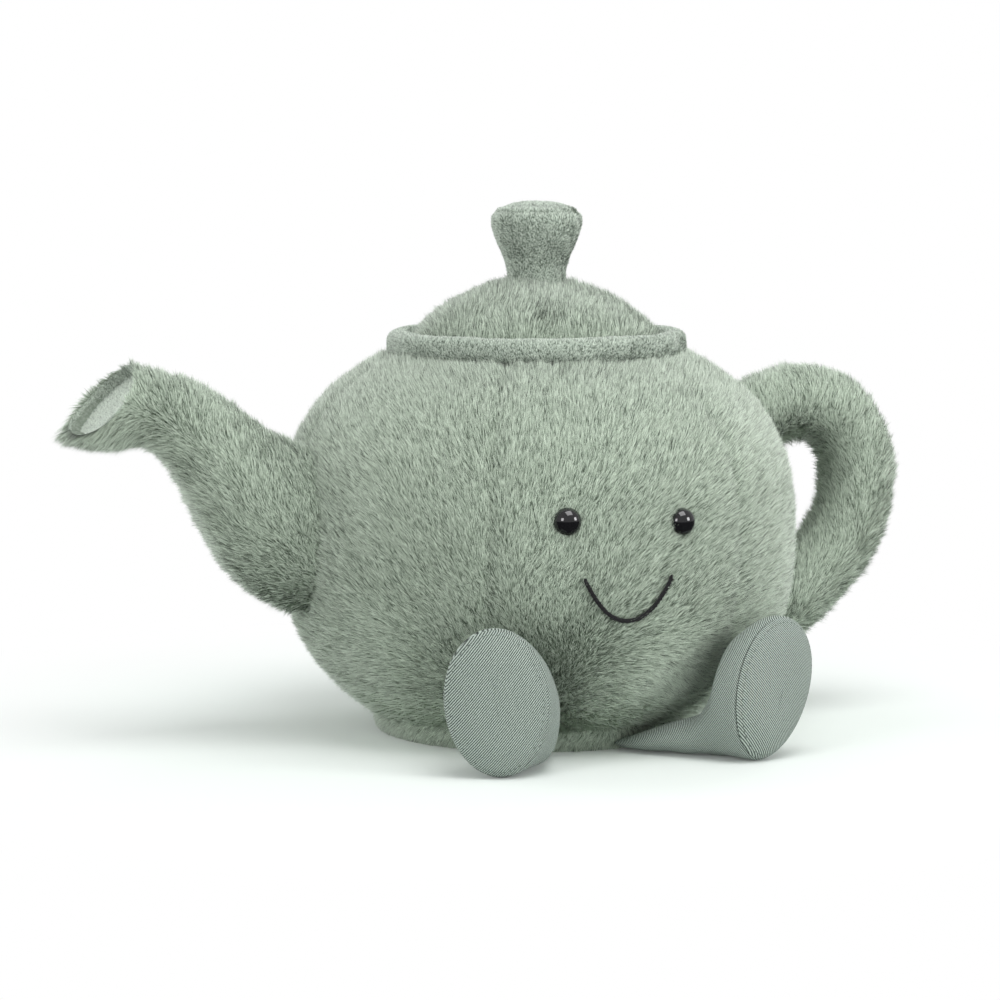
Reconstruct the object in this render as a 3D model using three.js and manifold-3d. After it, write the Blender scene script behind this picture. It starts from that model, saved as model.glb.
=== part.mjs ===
// A soft toy in the form of a teapot: a round plush body on a low base, a lid with a knob, a spout,
// a handle, a stitched face and two short woven legs that swing at the hip seams.
// Millimetres. +Z is up, the floor is z = 0, the face looks along -Y and the handle is on +X.
import * as THREE from 'three';
import { mergeVertices } from 'three/addons/utils/BufferGeometryUtils.js';
import Module from 'manifold-3d';

const wasm = await Module();
wasm.setup();

// Fabrics
const SEAM_GAP = 0.3; // between two pieces that are sewn or pressed together
const PLUSH = 3.6; // pile fabric, backing and combed pile together
const VELOUR = 2.0; // short-pile fabric
const TWILL = 1.5; // woven fabric of the legs

// Body: two superellipse arcs that meet at the widest ring
const BODY_RADIUS = 101.4;
const BELLY = 86; // depth of the lower arc, were it to run down to the axis
const BELLY_POWER = 2.2;
const BELLY_KEPT = 0.784; // share of that depth above the base band
const CROWN = 80; // height of the upper arc, were it to run up to the axis
const CROWN_POWER = 2.6;
const CROWN_KEPT = 0.8875; // share of that height below the collar
const GORES = 6;
const BODY_SIDES = 36;

// Base
const BASE_RADIUS = 63.8;
const BAND_HEIGHT = 8.3;
const BASE_CLOTH = 3.0;
const PELLET_BAG_RADIUS = 42;
const PELLET_BAG_HEIGHT = 17;

// Lid group
const COLLAR_RADIUS = 58.6;
const COLLAR_WIDTH = 8.6;
const COLLAR_HEIGHT = 7.6;
const LID_DOME = 28;
const LID_POWER = 1.45;
const LID_RIM = 3.0; // straight edge inside the collar
const KNOB_NECK_RADIUS = 11.2;
const KNOB_RADIUS = 17.3;
const KNOB_HEIGHT = 28.8; // above the lid
const KNOB_DISC_SHARE = 0.78; // height of the seam round the top disc

// Spout stations from root to mouth: reach beyond the body's side, rise above its widest ring,
// half height, half width, and lean of the section towards the body in degrees
const SPOUT = [
  { reach: -20, rise: 2, half: 33, wide: 29, lean: 0 },
  { reach: 2.3, rise: 8, half: 34, wide: 28.5, lean: 1 },
  { reach: 17.4, rise: 18, half: 31, wide: 26.5, lean: 8 },
  { reach: 28.7, rise: 31.5, half: 26.5, wide: 23, lean: 9 },
  { reach: 39.9, rise: 45.5, half: 19.4, wide: 18.8, lean: 9 },
  { reach: 52.1, rise: 53, half: 16, wide: 16.6, lean: 14 },
  { reach: 63.1, rise: 55, half: 17.8, wide: 17.4, lean: 27 },
  { reach: 73, rise: 58, half: 20, wide: 18.6, lean: 45 },
];
const SPOUT_MOUTH_DEPTH = 5; // from the lip down to the lining

// Handle: centre line by reach and rise, as for the spout
const HANDLE_RADIUS = 16;
const HANDLE_LINE = [
  [-24, 34],
  [-5, 44.6],
  [10.6, 49],
  [25.5, 44.5],
  [34.8, 33],
  [37.2, 18],
  [33.6, 0],
  [22.8, -15.8],
  [8, -29.8],
  [-12, -38],
  [-34, -40],
];

// Face
const EYE_RADIUS = 5.25;
const EYE_HEIGHT = 91;
const EYE_ANGLE = 13.3; // degrees to each side of the face's middle
const EYE_PROUD = 2.5; // how far a bead stands out of the pile
const SHANK_RADIUS = 1.8;
const WASHER_RADIUS = 6;
const WASHER = 1.4;
const SMILE_HEIGHT = 55; // lowest stitch
const SMILE_DEPTH = 15.7;
const SMILE_ANGLE = 9.75;
const SMILE_POWER = 2.2;
const THREAD_RADIUS = 0.8;

// Legs, each in its own hip frame: -Y runs outwards from the body, +X away from the other leg
const HIP_ANGLE_SPOUT = 13.2; // degrees from the face's middle to each hip seam
const HIP_ANGLE_HANDLE = 15.5;
const HIP_NOSE = 2.6; // half thickness of the flat end that is sewn into the base seam
const HIP_GAP = 0.4; // from the flat end to the base band
const LEG_LIFT = 0.35; // underside of a leg above the floor
const SWING_SPACE = 4.2; // kept free under the body, so that a leg can swing up a little
const SOLE_HALF_WIDTH = 19.5;
const SOLE_HALF_HEIGHT = 27.6;
const SOLE_ROLL = 20; // degrees, tops apart
const SOLE_TURN = 6; // degrees, away from the other leg
const SOLE = 3.4;
const SOLE_CROWN = 2.6;
// Leg stations from hip to sole seam: sideways, outwards, turn, half width, half height, roll
const LEG = [
  { aside: 0, out: 0, turn: 0, wide: 9, half: HIP_NOSE, roll: 0 },
  { aside: 3, out: 7, turn: 16, wide: 11, half: 4.6, roll: 0 },
  { aside: 8, out: 15, turn: 27, wide: 12, half: 6.6, roll: 0 },
  { aside: 13.5, out: 23.5, turn: 30, wide: 13, half: 9.6, roll: 0 },
  { aside: 18.5, out: 31, turn: 26, wide: 16, half: 17.6, roll: 6 },
  { aside: 23.5, out: 38.5, turn: 15, wide: 18.6, half: 24.2, roll: 14 },
  { aside: 27, out: 44, turn: 8, wide: 19.3, half: 27, roll: 18.5 },
];

// Heights that follow from the sizes above
const BODY_FOOT = BAND_HEIGHT + SEAM_GAP;
const WIDEST = BODY_FOOT + BELLY_KEPT * BELLY;
const BODY_TOP = WIDEST + CROWN_KEPT * CROWN;
const COLLAR_FOOT = BODY_TOP + SEAM_GAP;
const LID_RADIUS = COLLAR_RADIUS - COLLAR_WIDTH - 2 * SEAM_GAP;
const LID_TOP = COLLAR_FOOT + LID_RIM + LID_DOME;

const rad = THREE.MathUtils.degToRad;

// Solids
function toManifold(geometry) {
  const bare = geometry.clone();
  bare.deleteAttribute('normal');
  bare.deleteAttribute('uv');
  const merged = mergeVertices(bare, 1e-4);
  return new wasm.Manifold(
    new wasm.Mesh({
      numProp: 3,
      vertProperties: merged.attributes.position.array,
      triVerts: new Uint32Array(merged.index.array),
    }),
  );
}

function toGeometry(manifold) {
  const { vertProperties, triVerts } = manifold.getMesh();
  const geometry = new THREE.BufferGeometry();
  geometry.setAttribute('position', new THREE.BufferAttribute(new Float32Array(vertProperties), 3));
  geometry.setIndex(new THREE.BufferAttribute(new Uint32Array(triVerts), 1));
  geometry.computeVertexNormals();
  return geometry;
}

// A profile of [radius, height] pairs, counterclockwise from the foot of the axis, turned round Z.
function revolve(profile, sides) {
  const points = profile.map(([r, z]) => new THREE.Vector2(Math.max(r, 0), z));
  const turned = new THREE.LatheGeometry(points, sides);
  turned.rotateX(Math.PI / 2);
  return toManifold(turned);
}

// A closed tube through rings of equal point counts, with a middle point closing each end.
function loft(rings) {
  const count = rings[0].length;
  const points = rings.flat();
  const middle = (ring) => ring.reduce((sum, p) => sum.add(p), new THREE.Vector3()).divideScalar(count);
  const first = points.length;
  points.push(middle(rings[0]), middle(rings.at(-1)));
  const faces = [];
  for (let i = 0; i < count; i += 1) {
    const j = (i + 1) % count;
    for (let k = 0; k < rings.length - 1; k += 1) {
      const low = k * count;
      const high = low + count;
      faces.push(low + i, low + j, high + j, low + i, high + j, high + i);
    }
    const last = (rings.length - 1) * count;
    faces.push(first, j, i, first + 1, last + i, last + j);
  }
  const geometry = new THREE.BufferGeometry().setFromPoints(points);
  geometry.setIndex(faces);
  const made = toManifold(geometry);
  if (made.volume() > 0) return made;
  for (let i = 0; i < faces.length; i += 3) faces.splice(i, 3, faces[i], faces[i + 2], faces[i + 1]);
  geometry.setIndex(faces);
  return toManifold(geometry);
}

// Rings between stations, each point running along a smooth curve through its own row of points.
function smoothRings(rings, steps) {
  const rows = rings[0].map((_, i) => new THREE.CatmullRomCurve3(rings.map((ring) => ring[i])));
  const spans = (rings.length - 1) * steps;
  return Array.from({ length: spans + 1 }, (_, k) => rows.map((row) => row.getPoint(k / spans)));
}

function sweep(shape, path, steps) {
  return toManifold(new THREE.ExtrudeGeometry(shape, { extrudePath: path, steps, bevelEnabled: false }));
}

function block(x0, x1, y0, y1, z0, z1) {
  const box = new THREE.BoxGeometry(x1 - x0, y1 - y0, z1 - z0);
  box.translate((x0 + x1) / 2, (y0 + y1) / 2, (z0 + z1) / 2);
  return toManifold(box);
}

function roundShape(radius, sides) {
  const corners = Array.from({ length: sides }, (_, i) => {
    const a = (2 * Math.PI * i) / sides;
    return new THREE.Vector2(radius * Math.cos(a), radius * Math.sin(a));
  });
  return new THREE.Shape(corners);
}

// Body outline: radius and height along the two arcs, set in from the outer face by a margin
function bodyRadius(z, inset = 0) {
  const above = z > WIDEST;
  const power = above ? CROWN_POWER : BELLY_POWER;
  const reach = (above ? CROWN : BELLY) - inset;
  const share = Math.min(Math.abs(z - WIDEST) / reach, 1);
  return (BODY_RADIUS - inset) * (1 - share ** power) ** (1 / power);
}

function bodyArc(inset, steps) {
  const low = Math.asin(((WIDEST - BODY_FOOT) / (BELLY - inset)) ** (BELLY_POWER / 2));
  const high = Math.asin(((BODY_TOP - WIDEST) / (CROWN - inset)) ** (CROWN_POWER / 2));
  const lower = Array.from({ length: steps }, (_, i) => low * (1 - i / steps));
  const upper = Array.from({ length: steps + 1 }, (_, i) => (high * i) / steps);
  return [
    ...lower.map((t) => WIDEST - (BELLY - inset) * Math.sin(t) ** (2 / BELLY_POWER)),
    ...upper.map((t) => WIDEST + (CROWN - inset) * Math.sin(t) ** (2 / CROWN_POWER)),
  ].map((z) => [bodyRadius(z, inset), z]);
}

// Height of the body's underside at a distance from the axis
function undersideAt(r) {
  const share = Math.min(r / BODY_RADIUS, 1);
  return WIDEST - BELLY * (1 - share ** BELLY_POWER) ** (1 / BELLY_POWER);
}

const BODY_STEPS = 6;
const outerArc = bodyArc(0, BODY_STEPS);
const innerArc = bodyArc(PLUSH, BODY_STEPS);
const bodyShell = revolve([...outerArc, ...innerArc.toReversed(), outerArc[0]], BODY_SIDES);
const clearArc = outerArc.map(([r, z]) => [r + SEAM_GAP, z]);
const bodyEnvelope = revolve(
  [[0, BODY_FOOT - 1], [clearArc[0][0], BODY_FOOT - 1], ...clearArc, [0, BODY_TOP]],
  BODY_SIDES,
);

// Base, pellet bag and body fill
const bandInner = BASE_RADIUS - PLUSH;
const band = revolve(
  [
    [bandInner, SEAM_GAP],
    [BASE_RADIUS - 0.8, SEAM_GAP],
    [BASE_RADIUS, BAND_HEIGHT / 2],
    [BASE_RADIUS - 0.4, BAND_HEIGHT],
    [bandInner, BAND_HEIGHT],
    [bandInner, SEAM_GAP],
  ],
  BODY_SIDES,
);
const clothRadius = bandInner - SEAM_GAP;
const baseCloth = revolve(
  [
    [0, 0],
    [clothRadius - 1, 0],
    [clothRadius, BASE_CLOTH / 2],
    [clothRadius, BASE_CLOTH],
    [0, BASE_CLOTH],
  ],
  BODY_SIDES,
);
const bagFoot = BASE_CLOTH + SEAM_GAP;
function pelletBag(margin, foot) {
  const arc = Array.from({ length: 6 }, (_, i) => {
    const t = (Math.PI / 2) * (i / 5);
    return [(PELLET_BAG_RADIUS + margin) * Math.cos(t) ** 0.7, bagFoot + (PELLET_BAG_HEIGHT + margin) * Math.sin(t)];
  });
  return revolve([[0, foot], [PELLET_BAG_RADIUS + margin, foot], ...arc.slice(0, 5), [0, arc[5][1]]], 24);
}
const bag = pelletBag(0, bagFoot);
const fillArc = bodyArc(PLUSH + SEAM_GAP, BODY_STEPS);
const fillFoot = BODY_FOOT + SEAM_GAP;
const fillProfile = [
  [0, bagFoot],
  [clothRadius, bagFoot],
  [clothRadius, fillFoot],
  ...fillArc.filter(([r, z]) => z > fillFoot && z < BODY_TOP - SEAM_GAP && r > clothRadius),
];
const fillTop = fillArc.at(-1);
let bodyFill = revolve([...fillProfile, [fillTop[0] - 1, BODY_TOP - SEAM_GAP], [0, BODY_TOP - SEAM_GAP]], BODY_SIDES);
bodyFill = bodyFill.subtract(pelletBag(SEAM_GAP, 0));

// Gores: the shell cut into sectors by wedges that leave the seam gap between neighbours
function wedge(angle) {
  const half = Math.PI / GORES;
  const tip = SEAM_GAP / 2 / Math.sin(half);
  const far = 2 * BODY_RADIUS;
  const sector = new THREE.Shape([
    new THREE.Vector2(0, -tip),
    new THREE.Vector2(far * Math.sin(half), -tip - far * Math.cos(half)),
    new THREE.Vector2(-far * Math.sin(half), -tip - far * Math.cos(half)),
  ]);
  const prism = new THREE.ExtrudeGeometry(sector, { depth: BODY_TOP + 10, bevelEnabled: false });
  prism.rotateZ(rad(angle));
  return toManifold(prism);
}

// Eyes: a bead with a shank through the cloth and a washer behind it, made along the eye's own axis
const eyeFace = bodyRadius(EYE_HEIGHT);
const clothBehindEye = Math.min(
  bodyRadius(EYE_HEIGHT - WASHER_RADIUS, PLUSH),
  bodyRadius(EYE_HEIGHT + WASHER_RADIUS, PLUSH),
);
const washerFace = clothBehindEye - WASHER_RADIUS ** 2 / BODY_RADIUS - 2 * SEAM_GAP;
const beadBack = eyeFace + EYE_PROUD - EYE_RADIUS + 0.6;
function placeEye(manifold, angle) {
  const geometry = toGeometry(manifold);
  geometry.rotateX(Math.PI / 2);
  geometry.rotateZ(rad(angle));
  geometry.translate(0, 0, EYE_HEIGHT);
  return toManifold(geometry);
}
function bead(margin) {
  const dome = Array.from({ length: 6 }, (_, i) => {
    const t = (Math.PI / 2) * (i / 5);
    const tip = eyeFace + EYE_PROUD - beadBack;
    return [(EYE_RADIUS + margin) * Math.cos(t), beadBack + (tip + margin) * Math.sin(t)];
  });
  const shankEnd = washerFace - WASHER - 0.8 - margin;
  return revolve(
    [
      [0, shankEnd],
      [SHANK_RADIUS + margin, shankEnd],
      [SHANK_RADIUS + margin, beadBack - margin],
      [EYE_RADIUS + margin, beadBack - margin],
      ...dome.slice(0, 5),
      [0, dome[5][1]],
    ],
    20,
  );
}
function washer(margin) {
  const inner = SHANK_RADIUS + SEAM_GAP - margin;
  const foot = washerFace - WASHER - margin;
  return revolve(
    [
      [inner, foot],
      [WASHER_RADIUS + margin, foot],
      [WASHER_RADIUS + margin, washerFace + margin],
      [inner, washerFace + margin],
      [inner, foot],
    ],
    20,
  );
}
function washerPocket() {
  const foot = washerFace - WASHER - 0.8 - 2 * SEAM_GAP;
  const radius = WASHER_RADIUS + SEAM_GAP;
  return revolve([[0, foot], [radius, foot], [radius, eyeFace], [0, eyeFace]], 20);
}

// Smile: one thread that follows the body's surface, half sunk in the pile
class SmileCurve extends THREE.Curve {
  getPoint(t, target = new THREE.Vector3()) {
    const side = 2 * t - 1;
    const z = SMILE_HEIGHT + SMILE_DEPTH * Math.abs(side) ** SMILE_POWER;
    const angle = rad(SMILE_ANGLE * side);
    const r = bodyRadius(z) - 0.1;
    return target.set(r * Math.sin(angle), -r * Math.cos(angle), z);
  }
}
const smile = new SmileCurve();
const smileThread = sweep(roundShape(THREAD_RADIUS, 6), smile, 28);
const smileGroove = sweep(roundShape(THREAD_RADIUS + SEAM_GAP * 1.3, 6), smile, 28);

const eyeAngles = { spout: -EYE_ANGLE, handle: EYE_ANGLE };
const goreNames = ['front', 'front_handle', 'back_handle', 'back', 'back_spout', 'front_spout'];
const gores = goreNames.map((name, i) => {
  let panel = bodyShell.intersect(wedge((360 / GORES) * i));
  if (name === 'front') {
    for (const angle of Object.values(eyeAngles)) panel = panel.subtract(placeEye(bead(SEAM_GAP), angle));
    panel = panel.subtract(smileGroove);
  }
  return { name, panel };
});
for (const angle of Object.values(eyeAngles)) bodyFill = bodyFill.subtract(placeEye(washerPocket(), angle));

// Collar, lid and knob
const collarMiddle = COLLAR_RADIUS - COLLAR_WIDTH / 2;
const COLLAR_POINTS = 10;
const collarProfile = Array.from({ length: COLLAR_POINTS + 1 }, (_, i) => {
  const t = (2 * Math.PI * (i % COLLAR_POINTS)) / COLLAR_POINTS;
  const bulge = (v) => Math.sign(v) * Math.abs(v) ** 0.7;
  return [
    collarMiddle + (COLLAR_WIDTH / 2) * bulge(Math.cos(t)),
    COLLAR_FOOT + (COLLAR_HEIGHT / 2) * (1 + bulge(Math.sin(t))),
  ];
});
const collar = revolve(collarProfile, BODY_SIDES);

function lidArc(inset) {
  const steps = 7;
  return Array.from({ length: steps + 1 }, (_, i) => {
    const t = (Math.PI / 2) * (i / steps);
    return [
      (LID_RADIUS - inset) * Math.cos(t) ** (2 / LID_POWER),
      COLLAR_FOOT + LID_RIM + (LID_DOME - inset) * Math.sin(t) ** (2 / LID_POWER),
    ];
  });
}
function lidSolid(inset, foot) {
  return revolve([[0, foot], [LID_RADIUS - inset, foot], ...lidArc(inset).slice(0, -1), [0, LID_TOP - inset]], BODY_SIDES);
}
const lidCover = lidSolid(0, COLLAR_FOOT).subtract(lidSolid(PLUSH, COLLAR_FOOT - 1));
const lidFill = lidSolid(PLUSH + SEAM_GAP, COLLAR_FOOT);
const lidEnvelope = lidSolid(-SEAM_GAP, COLLAR_FOOT);

const knobFoot = LID_TOP - 6;
const knobTop = LID_TOP + KNOB_HEIGHT - SEAM_GAP;
const knobSeam = LID_TOP + KNOB_HEIGHT * KNOB_DISC_SHARE;
// The side wall flares from the neck to the seam; the top disc is a low dome over it.
function knobWall(inset, top) {
  const steps = 6;
  const wall = Array.from({ length: steps + 1 }, (_, i) => {
    const t = i / steps;
    const flare = THREE.MathUtils.smoothstep(t, 0.12, 1.02);
    return [
      KNOB_NECK_RADIUS - inset + (KNOB_RADIUS - KNOB_NECK_RADIUS) * flare,
      knobFoot + (top - knobFoot) * t,
    ];
  });
  return revolve([[0, knobFoot], ...wall, [0, top]], 20);
}
function knobDome(inset, foot) {
  const steps = 4;
  const dome = Array.from({ length: steps + 1 }, (_, i) => {
    const t = (Math.PI / 2) * (i / steps);
    return [(KNOB_RADIUS - inset) * Math.cos(t) ** 0.62, knobSeam + (knobTop - knobSeam - inset) * Math.sin(t) ** 0.9];
  });
  return revolve([[0, foot], [KNOB_RADIUS - inset, foot], ...dome.slice(0, -1), [0, knobTop - inset]], 20);
}
const knobCover = knobWall(0, knobSeam - SEAM_GAP).subtract(knobWall(VELOUR, knobSeam + 1)).subtract(lidEnvelope);
const knobDisc = knobDome(0, knobSeam).subtract(knobDome(VELOUR, knobSeam - 1));
const knobFill = knobWall(VELOUR + SEAM_GAP, knobSeam)
  .add(knobDome(VELOUR + SEAM_GAP, knobSeam - 0.5))
  .subtract(lidEnvelope);

// Spout
const SPOUT_SIDES = 16;
function spoutRing({ reach, rise, half, wide, lean }, inset) {
  const tilt = rad(lean);
  return Array.from({ length: SPOUT_SIDES }, (_, i) => {
    const a = (2 * Math.PI * i) / SPOUT_SIDES;
    const up = (half - inset) * Math.cos(a);
    return new THREE.Vector3(
      -(BODY_RADIUS + reach) + up * Math.sin(tilt),
      (wide - inset) * Math.sin(a),
      WIDEST + rise + up * Math.cos(tilt),
    );
  });
}
function spoutSolid(inset, stations = SPOUT) {
  return loft(smoothRings(stations.map((s) => spoutRing(s, inset)), 2));
}
const mouth = SPOUT.at(-1);
const mouthTilt = rad(mouth.lean);
// Everything above the mouth's plane, moved down into the spout by a depth
function aboveMouth(depth) {
  const half = 60;
  const slab = new THREE.BoxGeometry(2 * half, 2 * half, 2 * half);
  slab.translate(-half + depth, 0, 0);
  slab.rotateY(mouthTilt);
  slab.translate(-(BODY_RADIUS + mouth.reach), 0, WIDEST + mouth.rise);
  return toManifold(slab);
}
const spoutInside = spoutSolid(PLUSH);
const spoutShell = spoutSolid(0).subtract(spoutInside).subtract(spoutInside.intersect(aboveMouth(-0.01)));
const spoutOpen = spoutShell.subtract(bodyEnvelope);
const spoutCore = spoutSolid(PLUSH + SEAM_GAP);
const liningBack = SPOUT_MOUTH_DEPTH + VELOUR;
const mouthLining = spoutCore.intersect(aboveMouth(liningBack)).subtract(aboveMouth(SPOUT_MOUTH_DEPTH));
const spoutFill = spoutCore.subtract(aboveMouth(liningBack + SEAM_GAP)).subtract(bodyEnvelope);

// Handle
const handlePath = new THREE.CatmullRomCurve3(
  HANDLE_LINE.map(([reach, rise]) => new THREE.Vector3(BODY_RADIUS + reach, 0, WIDEST + rise)),
);
const HANDLE_STEPS = 22;
function handleTube(radius) {
  return sweep(roundShape(radius, 14), handlePath, HANDLE_STEPS);
}
const handleShell = handleTube(HANDLE_RADIUS).subtract(handleTube(HANDLE_RADIUS - PLUSH)).subtract(bodyEnvelope);
const handleFill = handleTube(HANDLE_RADIUS - PLUSH - SEAM_GAP).subtract(bodyEnvelope);

const FAR = 4 * BODY_RADIUS;
const frontSide = block(-FAR, FAR, -FAR, -SEAM_GAP / 2, -FAR, FAR);
const backSide = block(-FAR, FAR, SEAM_GAP / 2, FAR, -FAR, FAR);

// Legs
const hipRadius = BASE_RADIUS + HIP_GAP + HIP_NOSE;
const hipHeight = LEG_LIFT + HIP_NOSE;
const LEG_SIDES = 16;
// Half height of a leg at a station: no more than the space under the body lets it have
function legHalf({ aside, out, half }) {
  const reach = Math.hypot(aside, hipRadius + out);
  const room = reach < BODY_RADIUS ? (undersideAt(reach) - SWING_SPACE - LEG_LIFT) / 2 : half;
  return Math.max(Math.min(half, room), HIP_NOSE);
}
function legRing({ aside, out, turn, wide, roll, tall, centre }, inset) {
  const lean = rad(roll);
  return Array.from({ length: LEG_SIDES }, (_, i) => {
    const a = (2 * Math.PI * i) / LEG_SIDES;
    const u = (wide - inset) * Math.cos(a);
    const v = (tall - inset) * Math.sin(a);
    const across = u * Math.cos(lean) + v * Math.sin(lean);
    return new THREE.Vector3(
      aside + across * Math.cos(rad(turn)),
      -(hipRadius + out) + across * Math.sin(rad(turn)),
      centre + v * Math.cos(lean) - u * Math.sin(lean),
    );
  });
}
const soleSeam = {
  aside: 28,
  out: 46.4,
  turn: SOLE_TURN,
  wide: SOLE_HALF_WIDTH,
  half: SOLE_HALF_HEIGHT,
  roll: SOLE_ROLL,
};
const legStations = [...LEG, soleSeam].map((station) => {
  const tall = legHalf(station);
  const lean = rad(station.roll);
  return { ...station, tall, centre: LEG_LIFT + Math.hypot(tall * Math.cos(lean), station.wide * Math.sin(lean)) };
});
// The flat end is rounded about the hip line, so that it turns in place.
const noseRings = [0.97, 0.75, 0.4].map((share) =>
  legRing({ ...legStations[0], out: -HIP_NOSE * share, tall: HIP_NOSE * Math.sqrt(1 - share * share) }, 0),
);
const soleStation = legStations.at(-1);
const soleTurn = rad(SOLE_TURN);
function moved(ring, distance) {
  const step = new THREE.Vector3(Math.sin(soleTurn), -Math.cos(soleTurn), 0).multiplyScalar(distance);
  return ring.map((p) => p.clone().add(step));
}
const legOutside = loft([...noseRings, ...smoothRings(legStations.map((s) => legRing(s, 0)), 2)]);
function legInside(inset, past) {
  const rings = smoothRings(legStations.slice(1).map((s) => legRing(s, inset)), 2);
  return loft(past > 0 ? [...rings, moved(rings.at(-1), past)] : rings);
}
const legSleeve = legOutside.subtract(legInside(TWILL, 1));
const legFill = legInside(TWILL + SEAM_GAP, 0);
const soleLayers = [
  [0, SEAM_GAP],
  [0, SEAM_GAP + SOLE * 0.6],
  [2.2, SEAM_GAP + SOLE],
  [9, SEAM_GAP + SOLE + SOLE_CROWN * 0.7],
  [16, SEAM_GAP + SOLE + SOLE_CROWN],
];
const sole = loft(soleLayers.map(([inset, distance]) => moved(legRing(soleStation, inset), distance)));

// Assembly
const fabric = (color) => new THREE.MeshStandardMaterial({ color, roughness: 0.95, metalness: 0 });
const plush = fabric(0xa7b5a4);
const velour = fabric(0x95a393);
const twill = fabric(0x95a498);
const fibre = fabric(0xeeeeea);
const cotton = fabric(0xd9d6cb);
const thread = new THREE.MeshStandardMaterial({ color: 0x161616, roughness: 0.7, metalness: 0 });
const gloss = new THREE.MeshStandardMaterial({ color: 0x0b0b0b, roughness: 0.12, metalness: 0 });
const matte = new THREE.MeshStandardMaterial({ color: 0xe6e6e2, roughness: 0.6, metalness: 0 });

function piece(name, manifold, material) {
  const mesh = new THREE.Mesh(toGeometry(manifold), material);
  mesh.name = name;
  return mesh;
}

const toy = new THREE.Group();
for (const { name, panel } of gores) toy.add(piece(`body_panel_${name}`, panel, plush));
toy.add(
  piece('body_fill', bodyFill, fibre),
  piece('pellet_bag', bag, cotton),
  piece('base_band', band, plush),
  piece('base_cloth', baseCloth, twill),
  piece('collar', collar, velour),
  piece('lid_cover', lidCover, plush),
  piece('lid_fill', lidFill, fibre),
  piece('knob_wall', knobCover, velour),
  piece('knob_disc', knobDisc, velour),
  piece('knob_fill', knobFill, fibre),
  piece('spout_panel_front', spoutOpen.intersect(frontSide), plush),
  piece('spout_panel_back', spoutOpen.intersect(backSide), plush),
  piece('spout_mouth_lining', mouthLining, velour),
  piece('spout_fill', spoutFill, fibre),
  piece('handle_panel_front', handleShell.intersect(frontSide), plush),
  piece('handle_panel_back', handleShell.intersect(backSide), plush),
  piece('handle_fill', handleFill, fibre),
  piece('smile', smileThread, thread),
);
for (const [side, angle] of Object.entries(eyeAngles)) {
  toy.add(piece(`eye_${side}_side`, placeEye(bead(0), angle), gloss));
  toy.add(piece(`eye_washer_${side}_side`, placeEye(washer(0), angle), matte));
}
const hips = { spout: { angle: -HIP_ANGLE_SPOUT, flip: -1 }, handle: { angle: HIP_ANGLE_HANDLE, flip: 1 } };
for (const [side, { angle, flip }] of Object.entries(hips)) {
  const leg = new THREE.Group();
  leg.rotation.z = rad(angle);
  leg.scale.x = flip;
  leg.add(
    piece(`leg_sleeve_${side}_side`, legSleeve, twill),
    piece(`leg_fill_${side}_side`, legFill, fibre),
    piece(`sole_${side}_side`, sole, twill),
  );
  toy.add(leg);
}

export default toy;
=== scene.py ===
# %% [markdown]
# # A plush teapot toy
# This script dresses a plain CAD model as the soft toy in the photograph. The toy is a round teapot of
# long-pile plush with a velour collar and knob, a stitched face and two legs of woven cotton. The CAD
# solids say where each piece is and how the legs swing. Here each piece gets its cloth, its pile of
# hairs, its weave and its seams.

import math

import bmesh
import bpy
from mathutils import Matrix, Vector, noise


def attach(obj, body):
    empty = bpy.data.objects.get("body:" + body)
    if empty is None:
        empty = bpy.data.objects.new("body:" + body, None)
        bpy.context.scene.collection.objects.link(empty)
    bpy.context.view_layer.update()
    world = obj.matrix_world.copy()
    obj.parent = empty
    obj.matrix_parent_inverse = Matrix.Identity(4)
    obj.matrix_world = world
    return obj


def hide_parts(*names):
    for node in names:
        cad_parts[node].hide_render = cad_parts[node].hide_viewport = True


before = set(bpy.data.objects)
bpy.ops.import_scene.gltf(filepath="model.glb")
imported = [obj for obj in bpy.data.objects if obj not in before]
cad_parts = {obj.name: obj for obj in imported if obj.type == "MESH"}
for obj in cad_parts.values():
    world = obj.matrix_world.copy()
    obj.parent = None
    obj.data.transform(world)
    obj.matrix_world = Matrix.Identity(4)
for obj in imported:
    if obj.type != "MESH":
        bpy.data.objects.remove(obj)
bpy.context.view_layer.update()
MM = 0.001
print("CAD nodes:", len(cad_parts))

# %% [markdown]
# ## Camera
# The photograph was taken from a little above and to the spout's side, from far away, so that upright
# lines stay upright. A long lens at a distance of about 1.4 metres does the same.

# %% Camera
lens = bpy.data.cameras.new("camera")
lens.lens = 128.7
camera = bpy.data.objects.new("camera", lens)
camera.location = (-0.47883, -1.31557, 0.245)
aim = Vector((-0.01514, 0, 0.08998)) - camera.location
camera.rotation_euler = aim.to_track_quat("-Z", "Y").to_euler()
bpy.context.scene.collection.objects.link(camera)
bpy.context.scene.camera = camera
print("camera stands", round(aim.length, 3), "m from the toy")

# %% [markdown]
# ## Light
# A product table is lit by large soft boxes. One hangs over the toy, a little to the front, and two
# smaller ones stand left and right. The glossy eyes show all three as small bright squares. A weak box
# lies low in front, for the light that a white table throws back under the belly, and two stand behind the
# toy, where a white backdrop would brighten the rim of the fur. These three are kept out of mirror images.

# %% Lamps
def soft_box(name, place, size, power):
    lamp = bpy.data.lights.new(name, "AREA")
    lamp.shape = "SQUARE"
    lamp.size = size
    lamp.energy = power
    box = bpy.data.objects.new(name, lamp)
    box.location = place
    towards = Vector((0, 0, 0.08)) - box.location
    box.rotation_euler = towards.to_track_quat("-Z", "Y").to_euler()
    bpy.context.scene.collection.objects.link(box)
    return box


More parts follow.
